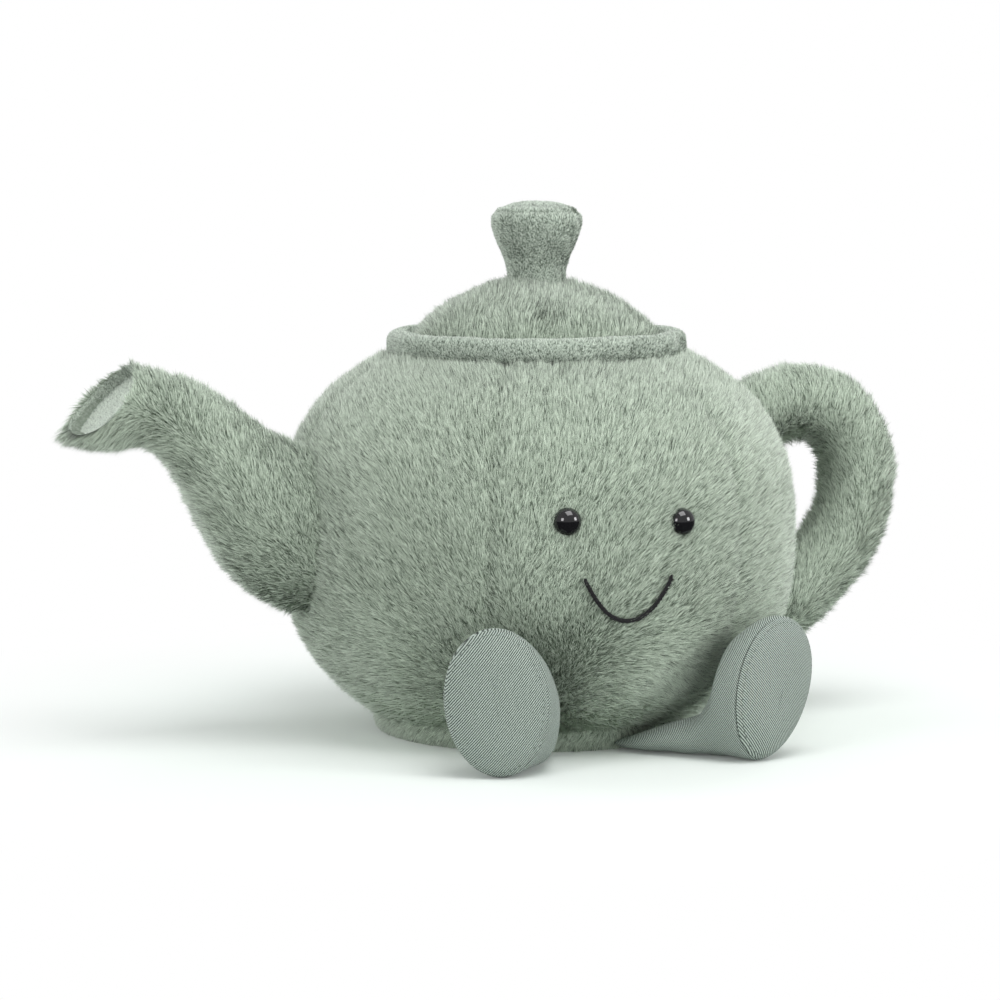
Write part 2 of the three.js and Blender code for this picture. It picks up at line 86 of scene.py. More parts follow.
soft_box("top_box", (0.1, -0.5, 1.3), 0.9, 9.4)
soft_box("left_box", (-1.1, -0.8, 0.5), 0.45, 4.4)
soft_box("right_box", (0.95, -0.95, 0.5), 0.45, 5.7)
for name, place, size, power in (
    ("low_box", (0.1, -1.25, 0.08), 0.5, 3.0),
    ("left_rim", (-0.9, 0.8, 0.7), 0.7, 4.0),
    ("right_rim", (0.9, 0.8, 0.7), 0.7, 4.0),
):
    soft_box(name, place, size, power).visible_glossy = False
bpy.context.scene.view_settings.view_transform = "Standard"
print("lamps:", len(bpy.data.lights))

# %% [markdown]
# ## A short way to write materials
# A material is a graph of small nodes. The class below wraps one socket of that graph, so that sums and
# products read as plain arithmetic. Every other node comes from its one method `node`.

# %% Shader arithmetic
class Wire:
    def __init__(self, tree, socket=None):
        self.tree = tree
        self.socket = socket

    def node(self, kind, settings=None, inputs=None, output=0):
        made = self.tree.nodes.new(kind)
        for name, value in (settings or {}).items():
            setattr(made, name, value)
        for key, value in (inputs or {}).items():
            if isinstance(value, Wire):
                self.tree.links.new(value.socket, made.inputs[key])
            else:
                made.inputs[key].default_value = value
        return Wire(self.tree, made.outputs[output])

    def math(self, operation, first, second=0.0):
        return self.node("ShaderNodeMath", {"operation": operation}, {0: first, 1: second})

    def __add__(self, other):
        return self.math("ADD", self, other)

    def __radd__(self, other):
        return self.math("ADD", other, self)

    def __sub__(self, other):
        return self.math("SUBTRACT", self, other)

    def __rsub__(self, other):
        return self.math("SUBTRACT", other, self)

    def __mul__(self, other):
        return self.math("MULTIPLY", self, other)

    def __rmul__(self, other):
        return self.math("MULTIPLY", other, self)

    def __truediv__(self, other):
        return self.math("DIVIDE", self, other)

    def __rtruediv__(self, other):
        return self.math("DIVIDE", other, self)

    def __pow__(self, other):
        return self.math("POWER", self, other)

    def step(self, low, high):
        return self.node(
            "ShaderNodeMapRange",
            {"interpolation_type": "SMOOTHSTEP"},
            {"Value": self, "From Min": low, "From Max": high},
        )

    def mix(self, factor, first, second):
        return self.node(
            "ShaderNodeMix", {"data_type": "RGBA"}, {0: factor, 6: first, 7: second}, output=2
        )

    def vector(self, operation, first, second, output=0):
        return self.node(
            "ShaderNodeVectorMath", {"operation": operation}, {0: first, 1: second}, output
        )


def linear(red, green, blue):
    """A colour as a screen shows it, 0 to 255, as the linear light that a shader mixes."""
    def lift(c):
        c /= 255
        return c / 12.92 if c <= 0.04045 else ((c + 0.055) / 1.055) ** 2.4

    return (lift(red), lift(green), lift(blue), 1.0)


def new_material(name, **constants):
    material = bpy.data.materials.new(name)
    material.use_nodes = True
    shader = material.node_tree.nodes["Principled BSDF"]
    for socket, value in constants.items():
        shader.inputs[socket.replace("_", " ")].default_value = value
    return material, Wire(material.node_tree), shader


def feed(shader, socket, wire):
    wire.tree.links.new(wire.socket, shader.inputs[socket])


# %% [markdown]
# ## Floor and white background
# The photograph has a white sheet that runs out of view, with a faint soft shadow round the feet. The
# floor is a large plane. Near the toy it is a matt white that takes the shadow. Farther out it turns
# into plain white light, so that no horizon shows. Mirror images show it almost black, so that the glossy
# eyes stay as dark as in the photograph.

# %% Floor finish
SHADOW_END, WHITE_START = 0.13, 0.3  # metres from the toy's middle
floor_cloth, start, shader = new_material("white_sheet", Roughness=1.0, Specular_IOR_Level=0.0)
shader.inputs["Base Color"].default_value = (0.8, 0.845, 0.82, 1)
shader.inputs["Emission Color"].default_value = (1, 1, 1, 1)
shader.inputs["Emission Strength"].default_value = 0.04
place = start.node("ShaderNodeTexCoord", output="Object")
far = start.vector("LENGTH", place, (0, 0, 0), output="Value").step(SHADOW_END, WHITE_START)
white = start.node("ShaderNodeEmission", inputs={"Color": (1, 1, 1, 1), "Strength": 1.0})
sheet = start.node("ShaderNodeMixShader", inputs={0: far, 1: Wire(start.tree, shader.outputs[0]), 2: white})
dim = start.node("ShaderNodeEmission", inputs={"Color": (1, 1, 1, 1), "Strength": 0.04})
mirrored = start.node("ShaderNodeLightPath", output="Is Glossy Ray")
sheet = start.node("ShaderNodeMixShader", inputs={0: mirrored, 1: sheet, 2: dim})
start.tree.links.new(sheet.socket, start.tree.nodes["Material Output"].inputs["Surface"])

# %% Floor
bm = bmesh.new()
bmesh.ops.create_grid(bm, x_segments=1, y_segments=1, size=8)
floor_mesh = bpy.data.meshes.new("floor")
bm.to_mesh(floor_mesh)
bm.free()
floor_mesh.materials.append(floor_cloth)
floor = bpy.data.objects.new("floor", floor_mesh)
bpy.context.scene.collection.objects.link(floor)
print("floor faces:", len(floor_mesh.polygons))

# %% Backdrop
world = bpy.data.worlds.new("studio")
world.use_nodes = True
bpy.context.scene.world = world
start = Wire(world.node_tree)
seen = start.node("ShaderNodeLightPath", output="Is Camera Ray")
fill_light = start.node("ShaderNodeBackground", inputs={"Color": (1, 1, 1, 1), "Strength": 0.5})
backdrop = start.node("ShaderNodeBackground", inputs={"Color": (1, 1, 1, 1), "Strength": 1.0})
both = start.node("ShaderNodeMixShader", inputs={0: seen, 1: fill_light, 2: backdrop})
world.node_tree.links.new(both.socket, world.node_tree.nodes["World Output"].inputs["Surface"])
print("the backdrop is white, and the sky fills with half its light")

# %% [markdown]
# ## Surfaces
# Soft pieces are surfaces of two parameters: one runs round the piece, the other along it. A flat grid is
# made first, each of its points is moved to where the surface has it, and the two edges that meet are
# merged.

# %% Surface helper
def make_object(bm, name, material):
    bmesh.ops.recalc_face_normals(bm, faces=bm.faces)
    mesh = bpy.data.meshes.new(name)
    bm.to_mesh(mesh)
    bm.free()
    mesh.shade_smooth()
    mesh.materials.append(material)
    made = bpy.data.objects.new(name, mesh)
    bpy.context.scene.collection.objects.link(made)
    return made


def inwards(bm):
    """Whether the faces look in towards the line that the rings of a piece go round."""
    middle = sum((v.co for v in bm.verts), Vector()) / len(bm.verts)
    views = sorted(bm.faces, key=lambda f: -(f.calc_center_median() - middle).length)[: len(bm.faces) // 4]
    return sum((f.calc_center_median() - middle).dot(f.normal) for f in views) < 0


def surface(spot, columns, rows, hollow=False):
    """A mesh of spot(u, v), with u round the piece and v along it, both from 0 to 1."""
    bm = bmesh.new()
    bmesh.ops.create_grid(bm, x_segments=columns, y_segments=rows, size=1)
    for vert in bm.verts:
        vert.co = Vector(spot((vert.co.x + 1) / 2, (vert.co.y + 1) / 2)) * MM
    bmesh.ops.remove_doubles(bm, verts=bm.verts, dist=0.01 * MM)
    bmesh.ops.recalc_face_normals(bm, faces=bm.faces)
    if inwards(bm) != hollow:
        bmesh.ops.reverse_faces(bm, faces=bm.faces)
    return bm


def between(stations, t):
    """A smooth run through stations, each a tuple of numbers, with t from 0 to 1."""
    place = t * (len(stations) - 1)
    i = min(int(place), len(stations) - 2)
    f = place - i
    a, b = stations[i], stations[i + 1]
    before = stations[max(i - 1, 0)]
    after = stations[min(i + 2, len(stations) - 1)]
    return tuple(
        0.5 * (2 * q + (r - p) * f + (2 * p - 5 * q + 4 * r - s) * f**2 + (3 * q - p - 3 * r + s) * f**3)
        for p, q, r, s in zip(before, a, b, after)
    )


def smooth(t):
    t = min(max(t, 0.0), 1.0)
    return t * t * (3 - 2 * t)


def near(distance, width):
    """1 where the distance is 0, fading out over that width."""
    return math.exp(-((distance / width) ** 2))


def ripple(point, size, depth):
    """A soft unevenness: depth in millimetres, over features of that size."""
    return depth * noise.noise(Vector(point) / size)


# %% [markdown]
# ## The body's cloth
# The body is sewn of six gores, like slices of an orange. Its outline is a superellipse, fuller than a
# ball. The backing cloth lies about 3 mm inside the outline, and the pile stands on it. Along each seam
# the cloth is drawn in, and the eyes and the mouth press small dents.

# %% Body form
BODY_RADIUS = 101.4
BELLY = 86.0
CROWN = 80.0
BODY_FOOT = 8.6
WIDEST = BODY_FOOT + 0.784 * BELLY
BODY_TOP = WIDEST + 0.8875 * CROWN
SKIN = 3.2  # from the outline down to the backing cloth
EYES = (("spout", -13.3, 92.3), ("handle", 13.3, 90.5))  # side, degrees from the face's middle, height
SMILE = {"height": 55.0, "depth": 15.7, "angle": 9.75, "power": 2.2}


def body_radius(z, inset=0.0):
    tall, power = (CROWN, 2.6) if z > WIDEST else (BELLY, 2.2)
    share = min(abs(z - WIDEST) / (tall - inset), 1.0)
    return (BODY_RADIUS - inset) * (1 - share**power) ** (1 / power)


def azimuth(p):
    """Degrees round the body from the middle of the face, to the viewer's right."""
    return math.degrees(math.atan2(p[0], -p[1]))


def seam_distance(p):
    """Distance to the nearest of the six seams, in the units of p."""
    off = (azimuth(p) - 30) % 60
    return math.hypot(p[0], p[1]) * math.radians(min(off, 60 - off))


def eye_distance(p):
    def gap(angle, height):
        out, turn = body_radius(height), math.radians(angle)
        return math.dist(p, (out * math.sin(turn), -out * math.cos(turn), height))

    return min(gap(angle, height) for _, angle, height in EYES)


def smile_point(side, lift=0.0):
    """A point of the mouth line, with side from -1 to 1, that far above the pile's outline."""
    z = SMILE["height"] + SMILE["depth"] * abs(side) ** SMILE["power"]
    angle = math.radians(SMILE["angle"] * side)
    out = body_radius(z) + lift
    return Vector((out * math.sin(angle), -out * math.cos(angle), z))


SMILE_LINE = [smile_point(i / 20 - 1) for i in range(41)]


def smile_distance(p):
    return min(math.dist(p, spot) for spot in SMILE_LINE) if p[1] < -60 else 99.0


def body_spot(u, v):
    z = BODY_FOOT + (BODY_TOP - BODY_FOOT) * v
    angle = math.radians(360 * u + 150)
    out = body_radius(z, SKIN)
    p = (out * math.sin(angle), -out * math.cos(angle), z)
    out += 0.3 - 1.1 * near(seam_distance(p), 3.0)
    out -= 1.2 * near(eye_distance(p), 9) + 1.3 * near(smile_distance(p), 4)
    out += ripple(p, 34.0, 0.9)
    return (out * math.sin(angle), -out * math.cos(angle), z)


body_bm = surface(body_spot, 192, 60)
print("body cloth:", len(body_bm.faces), "faces")

# %% [markdown]
# ## Hairs
# Plush pile is hundreds of thousands of short fibres that lean over and cling together in small tufts.
# One hair here is a single slim triangle, since at this size no bend would show. Geometry nodes scatter
# copies of it over a piece of cloth, lean each along the combing direction that the cloth carries, and
# ruffle them with noise, so that neighbours form tufts. A hair takes the light as the cloth under it
# does, since real fibres are round and let light through. Each hair's map holds its tint and the way from
# root to tip, and the material colours the hair from those two alone. The tint is partly random and partly
# painted shade and painted light, which the cloth carries.

# %% One hair
def make_hair(name, width):
    """A triangle one unit high that stands on z = 0; its scale gives it its length."""
    bm = bmesh.new()
    along = bm.verts.layers.float.new("along")
    bmesh.ops.create_circle(bm, cap_ends=True, segments=3, radius=1)
    tip = max(bm.verts, key=lambda v: v.co.y)
    feet = [v for v in bm.verts if v != tip]
    for vert, side in zip(feet, (-1, 1)):
        vert.co = (side * width / 2, 0, 0)
        vert[along] = 0
    tip.co = (0, 0, 1)
    tip[along] = 1
    bm.normal_update()
    bmesh.ops.reverse_faces(bm, faces=[f for f in bm.faces if f.normal.y < 0])
    for face in bm.faces:
        face.smooth = True
    mesh = bpy.data.meshes.new(name)
    bm.to_mesh(mesh)
    bm.free()
    return bpy.data.objects.new(name, mesh)


plush_hair = make_hair("plush_hair", 0.42 * MM)
nap_hair = make_hair("nap_hair", 0.36 * MM)
print("a hair has", len(plush_hair.data.polygons), "faces")

# %% Pile nodes
TUFT_GRAIN = 330.0  # tufts in a metre, about 3 mm each
LOCK_GRAIN = 1700.0  # locks of one tint in a metre, about 0.6 mm each


def pile_nodes(hair, name):
    group = bpy.data.node_groups.new(name, "GeometryNodeTree")
    for socket, kind in (("Cloth", "Geometry"), ("Density", "Float"), ("Seed", "Int"), ("Lift", "Float"),
                         ("Tuft", "Float"), ("Ruffle", "Float"), ("Roll", "Float")):
        group.interface.new_socket(socket, in_out="INPUT", socket_type="NodeSocket" + kind)
    group.interface.new_socket("Pile", in_out="OUTPUT", socket_type="NodeSocketGeometry")
    start = Wire(group)
    entry = group.nodes.new("NodeGroupInput")
    given = {s.name: Wire(group, s) for s in entry.outputs if s.name}

    def carried(attribute, kind):
        return start.node("GeometryNodeInputNamedAttribute", {"data_type": kind}, {"Name": attribute})

    def chance(low, high, seed):
        return start.node("FunctionNodeRandomValue", {"data_type": "FLOAT"},
                          {2: low, 3: high, "Seed": given["Seed"] + seed}, output=1)

    scatter = group.nodes.new("GeometryNodeDistributePointsOnFaces")
    group.links.new(given["Cloth"].socket, scatter.inputs["Mesh"])
    group.links.new((given["Density"] * carried("cover", "FLOAT")).socket, scatter.inputs["Density"])
    group.links.new(given["Seed"].socket, scatter.inputs["Seed"])
    points, normal = Wire(group, scatter.outputs["Points"]), Wire(group, scatter.outputs["Normal"])

    place = start.node("GeometryNodeInputPosition")
    cloud = start.node("ShaderNodeTexNoise", None,
                       {"Vector": place, "Scale": TUFT_GRAIN, "Detail": 1.0}, "Color")
    tuft = start.vector("SUBTRACT", cloud, (0.5, 0.5, 0.5))
    tuft = start.node("ShaderNodeVectorMath", {"operation": "SCALE"}, {0: tuft, "Scale": given["Tuft"]})
    loose = start.node("FunctionNodeRandomValue", {"data_type": "FLOAT_VECTOR"},
                       {0: (-1, -1, -1), 1: (1, 1, 1), "Seed": given["Seed"] + 5})
    loose = start.node("ShaderNodeVectorMath", {"operation": "SCALE"}, {0: loose, "Scale": given["Ruffle"]})
    upright = start.node("ShaderNodeVectorMath", {"operation": "SCALE"}, {0: normal, "Scale": given["Lift"]})
    way = start.vector("ADD", carried("comb", "FLOAT_VECTOR"), upright)
    way = start.vector("ADD", start.vector("ADD", way, tuft), loose)

    turn = start.node("FunctionNodeAlignRotationToVector", {"axis": "Z"}, {"Vector": way})
    turn = start.node("FunctionNodeAlignRotationToVector", {"axis": "Y", "pivot_axis": "Z"},
                      {"Rotation": turn, "Vector": normal})
    roll = start.node("FunctionNodeAxisAngleToRotation", None,
                      {"Axis": (0, 0, 1), "Angle": given["Roll"] * chance(-1.0, 1.0, 9)})
    turn = start.node("FunctionNodeRotateRotation", {"rotation_space": "LOCAL"},
                      {"Rotation": turn, "Rotate By": roll})
    length = carried("length", "FLOAT") * chance(0.6, 1.18, 3)
    size = start.node("ShaderNodeCombineXYZ", None, {"X": chance(0.7, 1.2, 4), "Y": length, "Z": length})

    lock = start.node("ShaderNodeTexNoise", None, {"Vector": place, "Scale": LOCK_GRAIN, "Detail": 1.0})
    # The tint mixes random locks and a random share per hair with the painted shade that the cloth carries:
    # above zero it darkens the hairs as painted shade, below zero it pales them as painted light.
    tint = lock * 2.2 - 0.58 + chance(-0.55, 0.55, 7) - carried("deep", "FLOAT") * 0.6
    tint = start.node("ShaderNodeClamp", None, {"Value": tint, "Min": 0.02, "Max": 0.98})
    points = start.node("GeometryNodeStoreNamedAttribute", {"data_type": "FLOAT", "domain": "POINT"},
                        {"Geometry": points, "Name": "tint", "Value": tint})
    lean = start.node("ShaderNodeVectorMath", {"operation": "SCALE"}, {0: way, "Scale": 0.3})
    points = start.node("GeometryNodeStoreNamedAttribute", {"data_type": "FLOAT_VECTOR", "domain": "POINT"},
                        {"Geometry": points, "Name": "facing", "Value": start.vector("ADD", normal, lean)})
    source = start.node("GeometryNodeObjectInfo", None, {"Object": hair}, "Geometry")
    hairs = start.node("GeometryNodeInstanceOnPoints", None,
                       {"Points": points, "Instance": source, "Rotation": turn, "Scale": size})
    hairs = start.node("GeometryNodeRealizeInstances", None, {"Geometry": hairs})
    tone = start.node("ShaderNodeCombineXYZ", None,
                      {"X": carried("tint", "FLOAT"), "Y": carried("along", "FLOAT") * 0.96 + 0.02})
    hairs = start.node("GeometryNodeStoreNamedAttribute", {"data_type": "FLOAT2", "domain": "CORNER"},
                       {"Geometry": hairs, "Name": "OFBake", "Value": tone})
    facing = start.vector("NORMALIZE", carried("facing", "FLOAT_VECTOR"), (0, 0, 0))
    hairs = start.node("GeometryNodeSetMeshNormal", {"mode": "FREE", "domain": "POINT"},
                       {"Mesh": hairs, "Custom Normal": facing})
    leave = group.nodes.new("NodeGroupOutput")
    group.links.new(hairs.socket, leave.inputs["Pile"])
    return group


PLUSH_PILE = pile_nodes(plush_hair, "plush_pile")
NAP_PILE = pile_nodes(nap_hair, "nap_pile")
print("pile nodes:", len(PLUSH_PILE.nodes))

# %% Growing a pile
hair_count = 0


def grow(name, bm, flow, group, material, keep=None, **settings):
    """Hairs on the faces of bm that keep() picks. flow(point, normal) gives the combing
    direction, the length in mm, the share of hairs that grow, and the painted shade: above zero the
    hairs are painted darker as painted shade, below zero paler as painted light."""
    global hair_count
    cloth = bm.copy()
    comb = cloth.verts.layers.float_vector.new("comb")
    length = cloth.verts.layers.float.new("length")
    cover = cloth.verts.layers.float.new("cover")
    deep = cloth.verts.layers.float.new("deep")
    if keep:
        spare = [f for f in cloth.faces if not keep(f.calc_center_median() / MM)]
        bmesh.ops.delete(cloth, geom=spare, context="FACES")
    cloth.normal_update()
    for vert in cloth.verts:
        way, long, share, painted_shading = flow(vert.co / MM, vert.normal)
        vert[comb] = way
        vert[length] = long * MM
        vert[cover] = share
        vert[deep] = painted_shading
    mesh = bpy.data.meshes.new(name + "_cloth")
    cloth.to_mesh(mesh)
    cloth.free()
    bed = bpy.data.objects.new(name + "_cloth", mesh)
    bpy.context.scene.collection.objects.link(bed)
    nodes = bed.modifiers.new("pile", "NODES")
    nodes.node_group = group
    for socket in group.interface.items_tree:
        if socket.in_out == "INPUT" and socket.name in settings:
            nodes[socket.identifier] = settings[socket.name]
    seen = bed.evaluated_get(bpy.context.evaluated_depsgraph_get())
    pile_mesh = bpy.data.meshes.new_from_object(seen)
    pile_mesh.name = name
    for attribute in ("comb", "length", "cover", "deep", "tint", "facing", "along"):
        if attribute in pile_mesh.attributes:
            pile_mesh.attributes.remove(pile_mesh.attributes[attribute])
    pile_mesh.materials.clear()
    pile_mesh.materials.append(material)
    bpy.data.objects.remove(bed)
    pile = bpy.data.objects.new(name, pile_mesh)
    bpy.context.scene.collection.objects.link(pile)
    hair_count += len(pile_mesh.polygons)
    print(name, len(pile_mesh.polygons), "faces")
    return pile


def across(normal):
    """The level direction along a surface, to the viewer's right on the toy's front."""
    level = Vector((0, 0, 1)).cross(normal)
    return level.normalized() if level.length > 1e-3 else Vector((1, 0, 0))


def combed(normal, degrees):
    """Down along the surface, turned that far to the right."""
    side = across(normal)
    down = side.cross(normal)
    turn = math.radians(degrees)
    return down * math.cos(turn) + side * math.sin(turn)


def swept_back(way, normal):
    """Past the outline that the front shows, the pile lies away to the back."""
    back = Vector((0, 1, 0.3))
    back -= normal * back.dot(normal)
    return way.normalized().lerp(back.normalized(), smooth((normal.y + 0.4) / 0.45))


# %% [markdown]
# ## Plush finish
# The fibres are dyed one grey-green. A hair is darker at its root, a painted shade where its neighbours
# shade it, and palest at its tip. Each hair differs a little from the next. Hairs of the lowest tints
# take a near-black green, a painted shade that stands for the shadowed gaps between tufts.

# %% Plush materials
def hair_material(name, root, gap, dull, pale, sheen):
    material, start, shader = new_material(name, Roughness=0.8, Specular_IOR_Level=0.25, Sheen_Weight=sheen)
    shader.inputs["Sheen Roughness"].default_value = 0.6
    spot = start.node("ShaderNodeUVMap", {"uv_map": "OFBake"})
    parts = spot.node("ShaderNodeSeparateXYZ", None, {0: spot})
    along = Wire(start.tree, parts.socket.node.outputs["Y"])
    # Hairs of the lowest tints take the gap colour, a painted shade for the shadowed gaps between tufts; the
    # root colour is painted shade where neighbouring hairs shade the root.
    tip = start.mix(parts.step(0.0, 0.36), gap, start.mix(parts, dull, pale))
    feed(shader, "Base Color", start.mix(along ** 0.8, root, tip))
    return material


def cloth_material(name, dark, light, scale, depth, roughness=0.95):
    """A plain cloth: two tones and a fine grain that also roughens the surface."""
    material, start, shader = new_material(name, Roughness=roughness, Specular_IOR_Level=0.2)
    place = start.node("ShaderNodeTexCoord", output="Object")
    grain = start.node("ShaderNodeTexNoise", None, {"Vector": place, "Scale": scale, "Detail": 2.0})
    feed(shader, "Base Color", start.mix(grain.step(0.3, 0.7), dark, light))
    bump = start.node("ShaderNodeBump", None, {"Strength": 1.0, "Distance": depth * MM, "Height": grain})
    feed(shader, "Normal", bump)
    return material


# gap and root are painted shade: the dark of the gaps between tufts and of the shaded roots.
plush = hair_material(
    "plush", root=linear(90, 106, 87), gap=linear(36, 49, 33),
    dull=linear(148, 167, 145), pale=linear(231, 246, 227), sheen=0.3,
)
backing = cloth_material("plush_backing", linear(120, 131, 118), linear(150, 160, 148), 900.0, 0.2)
print("plush colours are set")

# %% [markdown]
# ## Body pile
# The pile is brushed upwards: on the face up and to the right, on the left side up and to the left. So the
# upper half shows the sides of the hairs and looks pale, and the lower half shows their tips and looks
# darker. This light and shade is also painted into the hairs: painted shade low on the front, a little on
# the face and along the seams, painted light to the sides, under the mouth and at the foot. Under the
# mouth the pile is brushed sideways. It is left out under the eyes and shorter along the seams and the
# mouth line.

# %% Body pile
GORES = ("front", "front_handle", "back_handle", "back", "back_spout", "front_spout")


def sew_in(piece, body, finish, *nodes):
    """The piece moves with that body and stands for those CAD nodes, which are hidden. finish is not used."""
    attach(piece, body)
    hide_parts(*nodes)


def patch(p, angle, height, wide, tall):
    """1 at that spot of the body, fading out over that many degrees and millimetres."""
    return math.exp(-(((azimuth(p) - angle) / wide) ** 2) - (((p[2] - height) / tall) ** 2))


def body_painted_shading(p, near_seam, under_mouth):
    """Painted shade low on the front, a little on the face and along the seams; painted light, as paler
    hairs, to the sides, under the mouth and at the foot.
    """
    painted_shading = 0.55 * patch(p, -12, 41, 17, 17) - 0.45 * under_mouth
    painted_shading += 0.12 * patch(p, 5, 82, 26, 26)
    painted_shading -= 0.28 * smooth((azimuth(p) - 22) / 30) + 0.12 * smooth((-azimuth(p) - 30) / 30)
    return painted_shading + 0.1 * near_seam - 0.9 * smooth((28 - p[2]) / 18)


def body_flow(p, normal):
    turn = 180 - 48 * math.sin(math.radians(azimuth(p) + 16)) + ripple(p, 26.0, 34)
    under_mouth = patch(p, 15, 32, 15, 14)
    turn -= 95 * under_mouth
    near_seam = near(seam_distance(p), 2.0)
    length = 5.4 + ripple(p, 15.0, 0.7) - 1.2 * near_seam
    length += 1.6 * smooth((p[2] - 136) / 9)
    eye = eye_distance(p)
    length -= 2.6 * near(eye, 7.5) + 2.2 * near(smile_distance(p), 3)
    cover = 0.0 if eye < 4.4 else 1 - 0.2 * near_seam
    return combed(normal, turn), length, cover, body_painted_shading(p, near_seam, under_mouth)


body_skin = make_object(body_bm.copy(), "body_skin", backing)
sew_in(body_skin, "toy", "plush", "body_fill")
for i, gore in enumerate(GORES):
    pile = grow(
        "body_pile_" + gore, body_bm, body_flow, PLUSH_PILE, plush,
        keep=lambda c, i=i: int((azimuth(c) + 30) % 360 // 60) == i,
        Density=12.5e6 if "front" in gore else 9e6, Seed=11 * i + 1,
        Lift=0.66, Tuft=1.2, Ruffle=0.24, Roll=0.9,
    )
    sew_in(pile, "toy", "plush", "body_panel_" + gore)

# %% [markdown]
# ## Base
# A low band of plush goes round the foot of the body, and a flat cloth closes it below. The toy stands on
# that cloth.

# %% Base band and cloth
BASE_RADIUS = 63.8
BAND_HEIGHT = 8.3


def band_spot(u, v):
    angle = 2 * math.pi * u
    out = BASE_RADIUS - 2.4 + 1.0 * math.sin(math.pi * v)
    return (out * math.sin(angle), -out * math.cos(angle), 0.6 + (BAND_HEIGHT - 0.4) * v)


def band_flow(p, normal):
    # The last value is painted light: the band's hairs are painted paler where the belly shades them.
    return combed(normal, -30 + ripple(p, 12.0, 40)), 3.6, 1.0 if p[2] > 1.6 else 0.35, -0.4


band_bm = surface(band_spot, 120, 5)
band_pile = grow("base_band_pile", band_bm, band_flow, PLUSH_PILE, plush,
                 Density=10e6, Seed=71, Lift=0.5, Tuft=1.2, Ruffle=0.2, Roll=0.9)
band_cloth = make_object(band_bm, "base_band_cloth", backing)
base_weave = cloth_material("base_weave", linear(120, 132, 122), linear(142, 153, 143), 1400.0, 0.15)
bm = bmesh.new()
CLOTH_RADIUS = (BASE_RADIUS - 2.6) * MM
bmesh.ops.create_cone(bm, cap_ends=True, segments=96, radius1=CLOTH_RADIUS, radius2=CLOTH_RADIUS,
                      depth=2.4 * MM, matrix=Matrix.Translation((0, 0, 1.2 * MM)))
base_cloth = make_object(bm, "base_cloth_piece", base_weave)
sew_in(band_pile, "toy", "plush", "base_band")
sew_in(band_cloth, "toy", "plush", "base_band")
sew_in(base_cloth, "toy", "twill", "base_cloth")

# %% [markdown]
# ## Collar and knob
# These are velour, a cloth with a pile of about a millimetre, brushed upwards. Seen from far it is a fine
# speckle of light tips and dark gaps; the dark of the gaps is painted shade, a near-black green given to
# some hairs. The collar is a stuffed tube. The knob flares to a seam, where a round top disc is sewn in.

# %% Velour finish and collar
# gap and root are painted shade: the dark of the gaps in the nap and of the shaded roots.
velour = hair_material(
    "velour", root=linear(106, 121, 106), gap=linear(34, 46, 34),
    dull=linear(155, 171, 155), pale=linear(240, 253, 238), sheen=0.2,
)
velour_backing = cloth_material("velour_backing", linear(124, 134, 124), linear(150, 160, 149), 1500.0, 0.2)
COLLAR_FOOT = BODY_TOP + 0.3
COLLAR_RADIUS = 54.1  # to the middle of the tube, which is 2 x 4.1 mm thick and 2 x 4.5 mm high
NAP = {"Density": 16.0e6, "Lift": 0.6, "Tuft": 0.9, "Ruffle": 0.3, "Roll": 0.9}


def nap_flow(p, normal):
    way = swept_back(combed(normal, 180 + ripple(p, 5.0, 60)), normal)
    return way, 1.25 + ripple(p, 4.0, 0.4), 1.0, -0.1


def collar_spot(u, v):
    angle = 2 * math.pi * u
    t = 2 * math.pi * v

    def bulge(x):
        return math.copysign(abs(x) ** 0.72, x)

    out = COLLAR_RADIUS + 4.1 * bulge(math.cos(t))
    z = COLLAR_FOOT + 4.2 + 4.5 * bulge(math.sin(t))
    p = (out * math.sin(angle), -out * math.cos(angle), z)
    z += ripple(p, 22.0, 0.7)
    return (p[0], p[1], z)


collar_bm = surface(collar_spot, 150, 22)
collar_nap = grow("collar_nap", collar_bm, nap_flow, NAP_PILE, velour, Seed=81, **NAP)
collar = make_object(collar_bm, "collar_tube", velour_backing)
sew_in(collar_nap, "toy", "velour", "collar")
sew_in(collar, "toy", "velour", "collar")

# %% Knob
LID_TOP = COLLAR_FOOT + 31.0
KNOB_TOP = LID_TOP + 28.5
KNOB_WALL = [  # radius, height above the lid
    (11.2, -6.0), (11.0, 1.0), (12.2, 6.0), (14.3, 11.0), (16.1, 15.5), (17.2, 19.5), (17.0, 22.6),
    (15.0, 24.4),
]


def knob_wall_spot(u, v):
    angle = 2 * math.pi * u
    out, z = between(KNOB_WALL, v) if v < 1 else KNOB_WALL[-1]
    return (out * math.sin(angle), -out * math.cos(angle), LID_TOP + z)


def knob_disc_spot(u, v):
    angle = 2 * math.pi * u
    out, z = KNOB_WALL[-1]
    out = out * (1 - v) + 1.3 * near(v - 0.09, 0.07)
    z += (KNOB_TOP - LID_TOP - z - 0.6) * (1 - (1 - v) ** 3)
    return (out * math.sin(angle), -out * math.cos(angle), LID_TOP + z)


knob_wall_bm = surface(knob_wall_spot, 72, 26)
knob_disc_bm = surface(knob_disc_spot, 72, 14)
knob_wall_nap = grow("knob_wall_nap", knob_wall_bm, nap_flow, NAP_PILE, velour, Seed=91, **NAP)
knob_disc_nap = grow("knob_disc_nap", knob_disc_bm, nap_flow, NAP_PILE, velour, Seed=95, **NAP)
knob_wall = make_object(knob_wall_bm, "knob_wall_cloth", velour_backing)
knob_disc = make_object(knob_disc_bm, "knob_disc_cloth", velour_backing)
sew_in(knob_wall_nap, "toy", "velour", "knob_wall")
sew_in(knob_wall, "toy", "velour", "knob_wall", "knob_fill")
sew_in(knob_disc_nap, "toy", "velour", "knob_disc")
sew_in(knob_disc, "toy", "velour", "knob_disc")

